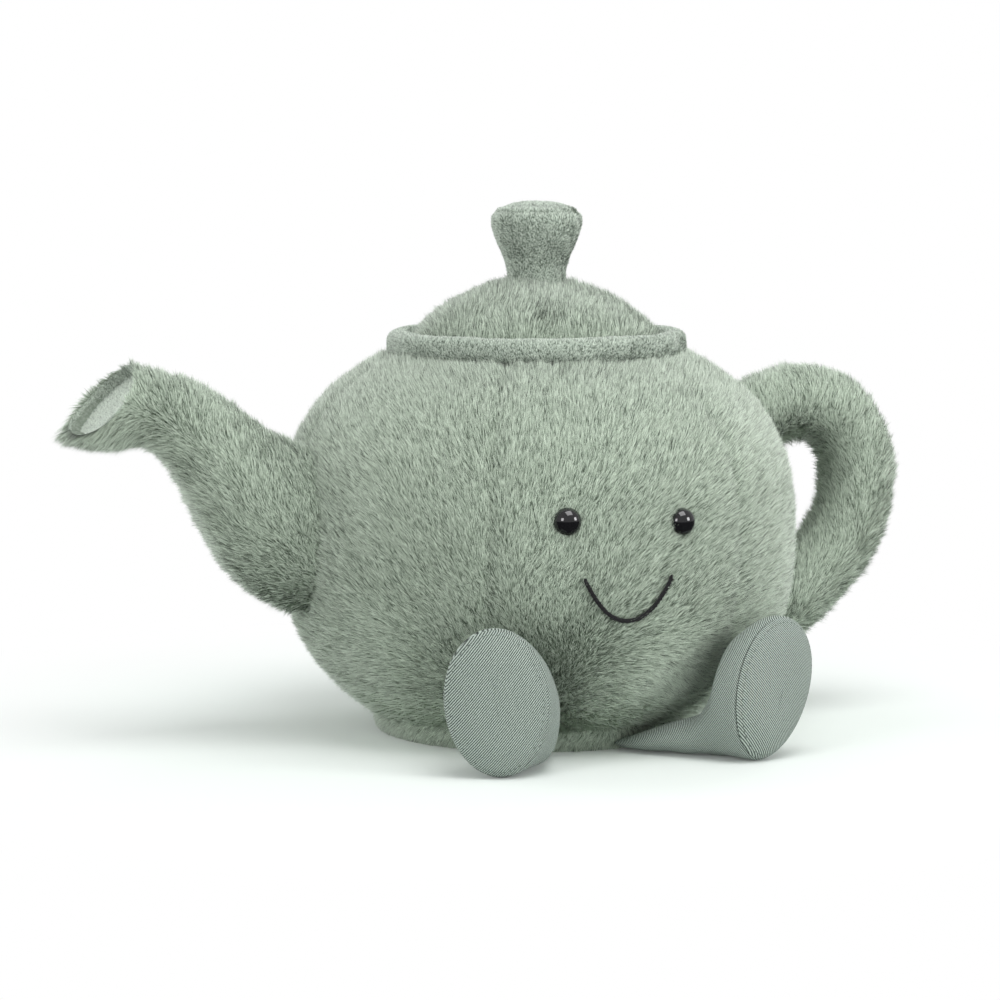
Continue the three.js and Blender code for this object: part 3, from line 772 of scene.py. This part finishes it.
# %% [markdown]
# ## Lid
# The lid is a low dome of the same plush as the body, tucked inside the collar. Its pile is brushed up
# towards the knob and swirls a little. Its hairs are painted a little darker, as painted shade, and a
# spot at the front darker still.

# %% Lid
LID_RADIUS = 49.4
LID_DOME = 28  # from the seam inside the collar to the top
LID_POWER = 1.62  # of the dome's superellipse: 2 is a round dome, 1 a cone
# The middle of a spot of painted shade on the lid's front.
LID_PAINTED_SHADE_SPOT = Vector((-9, -37, COLLAR_FOOT + 14))


def lid_spot(u, v):
    angle = 2 * math.pi * u
    t = math.pi / 2 * v
    out = (LID_RADIUS - SKIN) * math.cos(t) ** (2 / LID_POWER)
    z = COLLAR_FOOT + 3.0 + (LID_DOME - SKIN) * math.sin(t) ** (2 / LID_POWER)
    p = (out * math.sin(angle), -out * math.cos(angle), z)
    z += ripple(p, 24.0, 0.8)
    return (p[0], p[1], z)


def lid_flow(p, normal):
    turn = 165 + ripple(p, 18.0, 60)
    cover = 0.0 if math.hypot(p[0], p[1]) < 9 else 1.0
    # Painted shade: the lid's hairs a little darker all over, and darker still round the spot at the front.
    painted_shading = 0.1 + 0.5 * near((Vector(p) - LID_PAINTED_SHADE_SPOT).length, 9)
    return swept_back(combed(normal, turn), normal), 6.0 + ripple(p, 10.0, 1.2), cover, painted_shading


lid_bm = surface(lid_spot, 120, 34)
lid_pile = grow("lid_pile", lid_bm, lid_flow, PLUSH_PILE, plush,
                Density=12.5e6, Seed=101, Lift=0.55, Tuft=1.3, Ruffle=0.2, Roll=0.9)
lid_skin = make_object(lid_bm, "lid_skin", backing)
sew_in(lid_pile, "toy", "plush", "lid_cover")
sew_in(lid_skin, "toy", "plush", "lid_fill")

# %% [markdown]
# ## Spout
# The spout is cut as two mirrored panels, front and back, that narrow to a throat and open again at the
# lip. The stations below give its reach beyond the body, its rise, half height, half width and lean.

# %% Spout
SPOUT = [
    (-20, 2, 33, 29, 0), (2.3, 8, 34, 28.5, 1), (17.4, 18, 31, 26.5, 8), (28.7, 31.5, 26.5, 23, 9),
    (39.9, 45.5, 19.4, 18.8, 9), (52.1, 53, 16, 16.6, 14), (63.1, 55, 17.8, 17.4, 27),
    (73, 58, 20, 18.6, 45),
]


def spout_point(u, t, inset, back=0.0):
    reach, rise, half, wide, lean = between(SPOUT, t)
    tilt = math.radians(lean)
    a = 2 * math.pi * u
    up = (half - inset) * math.cos(a)
    return (
        -(BODY_RADIUS + reach) + up * math.sin(tilt) + back * math.cos(tilt),
        (wide - inset) * math.sin(a),
        WIDEST + rise + up * math.cos(tilt) - back * math.sin(tilt),
    )


def outside_body(p):
    return math.hypot(p[0], p[1]) > body_radius(p[2], SKIN) if BODY_FOOT < p[2] < BODY_TOP else True


def dip(u):
    """The near side of the soft lip hangs lower than its far side, by this many mm."""
    return 5.0 * max(0.0, -math.sin(2 * math.pi * u))


def spout_spot(u, v):
    inset = SKIN - 0.6 * smooth((v - 0.93) / 0.07)
    p = spout_point(u, v, inset, back=dip(u) * smooth((v - 0.78) / 0.22))
    crease = 1.2 * near(p[1], 2.5)
    return (p[0], p[1], p[2] + crease * (-1 if math.cos(2 * math.pi * u) > 0 else 1))


SPOUT_WHORL = Vector((-BODY_RADIUS - 50, -16, WIDEST + 54))  # the pile spreads from here


def spout_flow(p, normal):
    outwards = Vector((-0.75, 0, 0.35))
    way = outwards - normal * outwards.dot(normal) + combed(normal, 180 + ripple(p, 16.0, 40)) * 0.8
    lip = smooth((-p[0] - BODY_RADIUS - 52) / 16)
    drooping = lip * smooth((WIDEST + 62 - p[2]) / 14)
    droop = Vector((-0.75, 0, -0.6))
    way = swept_back(way, normal).lerp(droop - normal * droop.dot(normal) * 0.6, drooping)
    from_whorl = Vector(p) - SPOUT_WHORL
    spread = (from_whorl - normal * from_whorl.dot(normal)).normalized()
    apart = from_whorl.length
    way = way.normalized().lerp(spread, 0.75 * near(apart, 24) * (1 - near(apart, 12)))
    length = 5.8 + ripple(p, 12.0, 1.0) - 2.0 * lip + 3.6 * drooping
    # Painted shade: darker low down, next to the body and round the whorl's middle. Painted light: paler at
    # the lip, where the tips catch the light, and a little paler all over.
    painted_shading = 0.2 * smooth((WIDEST + 12 - p[2]) / 40) + 0.15 * near(p[0] + BODY_RADIUS + 8, 16)
    painted_shading += 0.35 * near(apart, 12) - 0.5 * lip - 0.12
    return way.normalized(), length, 1.0 if outside_body(p) else 0.0, painted_shading


spout_bm = surface(spout_spot, 72, 60)
spout_piles = {}
for side, sign, seed in (("front", -1, 111), ("back", 1, 117)):
    spout_piles[side] = grow(
        "spout_pile_" + side, spout_bm, spout_flow, PLUSH_PILE, plush,
        keep=lambda c, sign=sign: c.y * sign > 0,
        Density=12.5e6, Seed=seed, Lift=0.58, Tuft=1.4, Ruffle=0.22, Roll=0.9,
    )
spout_skin = make_object(spout_bm, "spout_skin", backing)
sew_in(spout_piles["front"], "toy", "plush", "spout_panel_front")
sew_in(spout_piles["back"], "toy", "plush", "spout_panel_back")
sew_in(spout_skin, "toy", "plush", "spout_fill")


# %% Spout lining
def lining_spot(u, v):
    """From the lip down the inside wall to the floor of the mouth."""
    if v < 0.5:
        return spout_point(u, 1.0, 2.6 + 1.2 * v, back=9 * v + dip(u) * (1 - 2 * v))
    share = (v - 0.5) * 2
    x, y, z = spout_point(u, 1.0, 3.2, back=4.5 + 0.8 * share)
    cx, cy, cz = spout_point(0.25, 1.0, 18.6, back=5.3)
    return (x + (cx - x) * share, y + (cy - y) * share, z + (cz - z) * share)


def lining_flow(p, normal):
    way, length, cover, _ = nap_flow(p, normal)
    # The lining's nap is painted paler, as painted light inside the shaded mouth.
    return way, length, cover, -0.5


lining_bm = surface(lining_spot, 60, 16, hollow=True)
lining_nap = grow("spout_lining_nap", lining_bm, lining_flow, NAP_PILE, velour, Seed=123, **NAP)
lining = make_object(lining_bm, "spout_lining_cloth", velour_backing)
sew_in(lining_nap, "toy", "velour", "spout_mouth_lining")
sew_in(lining, "toy", "velour", "spout_mouth_lining")

# %% [markdown]
# ## Handle
# A stuffed plush tube, bent to an ear shape and sewn to the body at both ends. It too has two panels, and
# their seam shows as a crease along the inner curve.

# %% Handle
HANDLE_RADIUS = 16.0
HANDLE = [  # reach beyond the body, rise above its widest part
    (-24, 34), (-5, 44.6), (10.6, 49), (25.5, 44.5), (34.8, 33), (37.2, 18), (33.6, 0), (22.8, -15.8),
    (8, -29.8), (-12, -38), (-34, -40),
]


def handle_frame(t):
    reach, rise = between(HANDLE, t)
    ahead = between(HANDLE, min(t + 0.004, 1.0))
    behind = between(HANDLE, max(t - 0.004, 0.0))
    run = Vector((ahead[0] - behind[0], 0, ahead[1] - behind[1])).normalized()
    return Vector((BODY_RADIUS + reach, 0, WIDEST + rise)), run


def handle_spot(u, v):
    centre, run = handle_frame(v)
    inner = Vector((-run.z, 0, run.x)) * -1
    a = 2 * math.pi * u
    out = HANDLE_RADIUS - SKIN
    out -= 1.3 * near(math.sin(a) * out, 2.5)
    p = centre + inner * (out * math.cos(a)) + Vector((0, 1, 0)) * (out * math.sin(a))
    return tuple(p + (p - centre).normalized() * ripple(p, 20.0, 0.9))


def handle_flow(p, normal):
    middle = Vector((BODY_RADIUS - 2, 0, WIDEST + 6))
    round_it = Vector((0, 1, 0)).cross(Vector(p) - middle).normalized()
    way = combed(normal, 180 + ripple(p, 16.0, 50)) * 0.9 - (round_it - normal * round_it.dot(normal)) * 0.4
    length = 5.8 + ripple(p, 12.0, 1.0)
    # Painted shade: darker low down. Painted light: paler all over.
    painted_shading = 0.1 * smooth((WIDEST - p[2]) / 40) - 0.2
    return swept_back(way, normal), length, 1.0 if outside_body(p) else 0.0, painted_shading


handle_bm = surface(handle_spot, 60, 96)
handle_piles = {}
for side, sign, seed in (("front", -1, 131), ("back", 1, 137)):
    handle_piles[side] = grow(
        "handle_pile_" + side, handle_bm, handle_flow, PLUSH_PILE, plush,
        keep=lambda c, sign=sign: c.y * sign > 0,
        Density=12.5e6, Seed=seed, Lift=0.58, Tuft=1.4, Ruffle=0.22, Roll=0.9,
    )
handle_skin = make_object(handle_bm, "handle_skin", backing)
sew_in(handle_piles["front"], "toy", "plush", "handle_panel_front")
sew_in(handle_piles["back"], "toy", "plush", "handle_panel_back")
sew_in(handle_skin, "toy", "plush", "handle_fill")

# %% [markdown]
# ## Eyes
# Each eye is a glossy black plastic bead on a shank that goes through the cloth. A low half-ellipse turned
# about the eye's axis gives it.

# %% Eyes
gloss_plastic, start, shader = new_material(
    "gloss_plastic", Roughness=0.04, Specular_IOR_Level=0.3, Coat_Weight=1.0
)
shader.inputs["Base Color"].default_value = (0.006, 0.006, 0.007, 1)
EYE_RADIUS = 5.25
EYE_DEPTH = 4.65
EYE_PROUD = 2.0  # how far its tip stands before the pile

for name, angle, height in EYES:
    tip = body_radius(height) + EYE_PROUD
    bm = bmesh.new()
    rim = [bm.verts.new((EYE_RADIUS * math.cos(t) * MM, -(tip - EYE_DEPTH + EYE_DEPTH * math.sin(t)) * MM, 0))
           for t in (math.pi / 2 * k / 16 for k in range(-6, 17))]
    edges = [bm.edges.new(pair) for pair in zip(rim, rim[1:])]
    bmesh.ops.spin(bm, geom=rim + edges, axis=(0, 1, 0), cent=(0, 0, 0),
                   angle=2 * math.pi, steps=40, use_merge=True)
    bmesh.ops.remove_doubles(bm, verts=bm.verts, dist=0.01 * MM)
    turn = Matrix.Translation((0, 0, height * MM)) @ Matrix.Rotation(math.radians(angle), 4, "Z")
    bmesh.ops.transform(bm, matrix=turn, verts=bm.verts)
    eye = make_object(bm, "eye_bead_" + name, gloss_plastic)
    sew_in(eye, "toy", "eye", f"eye_{name}_side")
    print(eye.name, len(eye.data.polygons), "faces")

# %% [markdown]
# ## Smile
# The mouth is embroidered: short overlapping stitches of black thread that follow the curve, with fine
# loose fibres at their ends. Each stitch here is a small stretched ball, laid along the line and turned a
# little from its neighbour.

# %% Smile stitches
thread, start, shader = new_material("thread", Roughness=0.75, Specular_IOR_Level=0.3, Sheen_Weight=0.15)
shader.inputs["Base Color"].default_value = (0.007, 0.007, 0.008, 1)
STITCHES = 36


def stitch(bm, side, slant, long, thick, lift=-0.2):
    """One stitch at that side of the mouth line, slanted to it, with its half length and half thickness."""
    here = smile_point(side, lift)
    run = (smile_point(side + 0.02) - smile_point(side - 0.02)).normalized()
    out = Vector((here.x, here.y, 0)).normalized()
    cross = out.cross(run).normalized()
    along = run * math.cos(slant) + cross * math.sin(slant)
    basis = Matrix((along * long, out.cross(along) * thick, out * thick)).transposed().to_4x4()
    made = bmesh.ops.create_uvsphere(bm, u_segments=8, v_segments=6, radius=MM)
    turn = Matrix.Translation(here * MM) @ basis @ Matrix.Rotation(math.pi / 2, 4, "Y")
    bmesh.ops.transform(bm, matrix=turn, verts=made["verts"])


bm = bmesh.new()
for i in range(STITCHES):
    side = -1 + 2 * (i + 0.5) / STITCHES
    stitch(bm, side, math.radians(7 if i % 2 else -6), 2.0, 0.74)
    for fork in (-1, 1):
        slant = fork * (0.55 + 0.3 * noise.noise((i * 1.7, fork, 0)))
        long = 1.6 + 0.5 * noise.noise((i * 2.3, fork, 4))
        stitch(bm, side + 0.012 * fork, slant, long, 0.3, lift=0.4)
smile = make_object(bm, "smile_stitches", thread)
sew_in(smile, "toy", "thread", "smile")
print(smile.name, len(smile.data.polygons), "faces")

# %% [markdown]
# ## Legs
# The legs are sewn of a woven cotton twill, in a cooler grey-green. A leg is flat where it is caught in
# the base seam, and fills out to a round foot. The foot ends in a padded oval sole with a seam all round.
# The weave is drawn on the cloth's own map, in metres, so that its lines keep their real pitch. Its
# grooves are painted darker, as painted shade, and random flecks vary the yarn's own tone.

# %% Twill finish
RIB_PITCH = 0.95
YARN_PITCH = 0.55


def twill_material(name):
    material, start, shader = new_material(name, Roughness=0.9, Specular_IOR_Level=0.2, Sheen_Weight=0.1)
    spot = start.node("ShaderNodeUVMap", {"uv_map": "weave"})
    parts = spot.node("ShaderNodeSeparateXYZ", None, {0: spot})
    u, v = parts, Wire(start.tree, parts.socket.node.outputs["Y"])
    wobble = start.node("ShaderNodeTexNoise", None, {"Vector": spot, "Scale": 500.0, "Detail": 2.0})
    turn = (u + v * 0.8) * (2 * math.pi / (RIB_PITCH * MM)) + wobble * 2.2
    rib = start.math("SINE", turn) * 0.5 + 0.5
    yarn = start.math("SINE", (u * 0.8 - v) * (2 * math.pi / (YARN_PITCH * MM)) + wobble * 3.0) * 0.5 + 0.5
    relief = rib * 0.7 + yarn * 0.3
    fleck = start.node("ShaderNodeTexNoise", None, {"Vector": spot, "Scale": 2600.0, "Detail": 1.0})
    # The tone follows the relief of the ribs and yarns: their grooves are painted dark, a painted shade, and
    # the fine flecks vary the yarn's own tone.
    tone = start.mix((relief * 0.9 + fleck * 0.5).step(0.35, 1.0), linear(30, 40, 35), linear(180, 193, 184))
    feed(shader, "Base Color", tone)
    bump = start.node("ShaderNodeBump", None, {"Strength": 0.8, "Distance": 0.3 * MM, "Height": relief})
    feed(shader, "Normal", bump)
    return material


twill = twill_material("twill")
stitch_thread, start, shader = new_material("stitch_thread", Roughness=0.8)
shader.inputs["Base Color"].default_value = linear(96, 108, 100)
print("twill ribs are", RIB_PITCH, "mm apart")

# %% Leg stations
HIP_RADIUS = 66.8  # from the body's axis to the hip line
HIP_NOSE = 2.6  # half the thickness of the flat root
LEG_LIFT = 0.35
LEG = [  # aside and out from the hip, turn, half width, half height, roll
    (0, 0, 0, 9, 2.6, 0), (3, 7, 16, 11, 4.4, 0), (8, 15, 27, 11.5, 6.0, 0), (13.5, 23.5, 30, 12.5, 8.2, 0),
    (17.8, 29.5, 27, 15.5, 14.5, 5), (21, 34.5, 20, 18.2, 22.5, 11), (25, 41, 11, 19.4, 26.6, 17),
    (28, 46.4, 6, 19.5, 27.6, 20),
]


def underside(reach):
    """Height of the body's outline above the floor, that far from its axis."""
    low, high = BODY_FOOT, WIDEST
    for _ in range(40):
        middle = (low + high) / 2
        low, high = (middle, high) if body_radius(middle) < reach else (low, middle)
    return low


def leg_station(aside, out, turn, wide, half, roll):
    reach = math.hypot(aside, HIP_RADIUS + out)
    room = (underside(reach) - 4.2 - LEG_LIFT) / 2 if reach < BODY_RADIUS else half
    tall = max(min(half, room), HIP_NOSE)
    lean = math.radians(roll)
    centre = LEG_LIFT + math.hypot(tall * math.cos(lean), wide * math.sin(lean))
    return (aside, out, turn, wide, tall, roll, centre)


def leg_point(station, u, inset=0.0, ahead=0.0):
    aside, out, turn, wide, tall, roll, centre = station
    a = 2 * math.pi * u
    lean, turn = math.radians(roll), math.radians(turn)
    egg = 1 + 0.07 * math.sin(a) * roll / 20
    right = (wide - inset) * math.cos(a) * egg
    up = (tall - inset) * math.sin(a)
    over = right * math.cos(lean) + up * math.sin(lean)
    return (
        aside + over * math.cos(turn) + ahead * math.sin(turn),
        -(HIP_RADIUS + out) + over * math.sin(turn) - ahead * math.cos(turn),
        centre + up * math.cos(lean) - right * math.sin(lean),
    )


# %% Sleeve and sole
NOSE_SHARE = 0.06  # of the sleeve's length, rounded at the hip
SOLE_STITCHES = 58


def sleeve_spot(stations, root, u, v):
    """The leg's cloth from hip to sole seam. Its flat root lies that far along the hip line."""
    if v < NOSE_SHARE:
        share = math.cos(math.pi / 2 * v / NOSE_SHARE)
        aside, out, turn, wide, tall, roll, centre = stations[0]
        tall = max(tall * math.sqrt(1 - share * share), 0.05)
        return leg_point((aside + root, -HIP_NOSE * share, turn, wide, tall, roll, centre), u)
    t = (v - NOSE_SHARE) / (1 - NOSE_SHARE)
    aside, *rest = between(stations, t)
    aside += root * smooth((0.62 - t) / 0.62)
    p = leg_point((aside, *rest), u, inset=0.9 * smooth((t - 0.97) / 0.03))
    fold = ripple(p, 9.0, 0.7) * smooth(t * 3) * smooth((1 - t) * 8)
    return (p[0], p[1], max(p[2] + fold, LEG_LIFT * 0.5))


def sole_spot(seam, u, v):
    """The padded oval, from its seam to its middle."""
    share = 1 - v
    ahead = 0.5 + 5.2 * (1 - share**2.6) ** 0.75 + ripple((u * 9, v * 9, 3), 2.0, 0.25) * v
    return leg_point(seam, u, inset=0.7 + 18.8 * v, ahead=ahead)


def lay_weave(bm, flat):
    """The cloth's own map: flat(point) gives its two coordinates in metres."""
    weave = bm.loops.layers.uv.new("weave")
    for face in bm.faces:
        for loop in face.loops:
            loop[weave].uv = flat(loop.vert.co)


def sole_seam(rim):
    """A ring of small stitches round the edge of the sole, each a stretched ball."""
    bm = bmesh.new()
    stretch = Matrix.Diagonal((0.75, 0.22, 0.22, 1))
    for k in range(SOLE_STITCHES):
        u = k / SOLE_STITCHES
        here = Vector(leg_point(rim, u, inset=2.3, ahead=1.95))
        run = Vector(leg_point(rim, u + 0.01)) - Vector(leg_point(rim, u - 0.01))
        along = run.normalized().to_track_quat("X", "Z").to_matrix().to_4x4()
        made = bmesh.ops.create_uvsphere(bm, u_segments=8, v_segments=6, radius=MM)
        turn = Matrix.Translation(here * MM) @ along @ stretch
        bmesh.ops.transform(bm, matrix=turn, verts=made["verts"])
    return bm


# %% [markdown]
# ## Sewing on the legs
# Both legs are cut alike and mirrored. The spout-side leg is caught 11 mm farther along the hip line and
# stands nearly upright, as in the photograph, while the other one leans over.

# %% Legs
HIPS = (  # side, degrees round the body, mirrored or not, shift of the root, share of the roll
    ("spout", -13.2, -1, 11.0, 0.25),
    ("handle", 15.5, 1, 0.0, 1.0),
)
for side, angle, flip, root, rolled in HIPS:
    stations = [leg_station(*station, roll * rolled) for *station, roll in LEG]
    hip = Matrix.Rotation(math.radians(angle), 4, "Z") @ Matrix.Diagonal((flip, 1, 1, 1))
    body = side + "_side_leg"
    sleeve_bm = surface(lambda u, v: sleeve_spot(stations, root, u, v), 72, 80)
    lay_weave(sleeve_bm, lambda p: (0.85 * p.x - 0.85 * p.y, p.z))
    sole_bm = surface(lambda u, v: sole_spot(stations[-1], u, v), 72, 24)
    lay_weave(sole_bm, lambda p: (p.x, p.z))
    seam_bm = sole_seam(stations[-1])
    for bm in (sleeve_bm, sole_bm, seam_bm):
        bmesh.ops.transform(bm, matrix=hip, verts=bm.verts)
    sleeve = make_object(sleeve_bm, "leg_cloth_" + side, twill)
    sole = make_object(sole_bm, "sole_cloth_" + side, twill)
    seam = make_object(seam_bm, "sole_stitches_" + side, stitch_thread)
    sew_in(sleeve, body, "twill", f"leg_sleeve_{side}_side", f"leg_fill_{side}_side")
    sew_in(sole, body, "twill", f"sole_{side}_side")
    sew_in(seam, body, "twill", f"sole_{side}_side")
    print(body, len(sleeve.data.polygons) + len(sole.data.polygons), "faces")

# %% [markdown]
# ## Pieces that stay inside
# The bag of pellets that weighs the toy down and the washers behind the eyes are hidden, and their CAD
# solids serve as they are. They get plain finishes.

# %% Inside pieces
cotton = cloth_material("cotton", linear(205, 201, 188), linear(222, 219, 208), 1200.0, 0.15)
matte_plastic, start, shader = new_material("matte_plastic", Roughness=0.6)
shader.inputs["Base Color"].default_value = linear(230, 230, 226)
for name, material in (("pellet_bag", cotton), ("eye_washer_spout_side", matte_plastic),
                       ("eye_washer_handle_side", matte_plastic)):
    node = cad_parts[name]
    node.data.materials.clear()
    node.data.materials.append(material)
print("hairs in all:", hair_count)

# %% Finish
body_bm.free()
for spare in (plush_hair, nap_hair):
    bpy.data.objects.remove(spare)
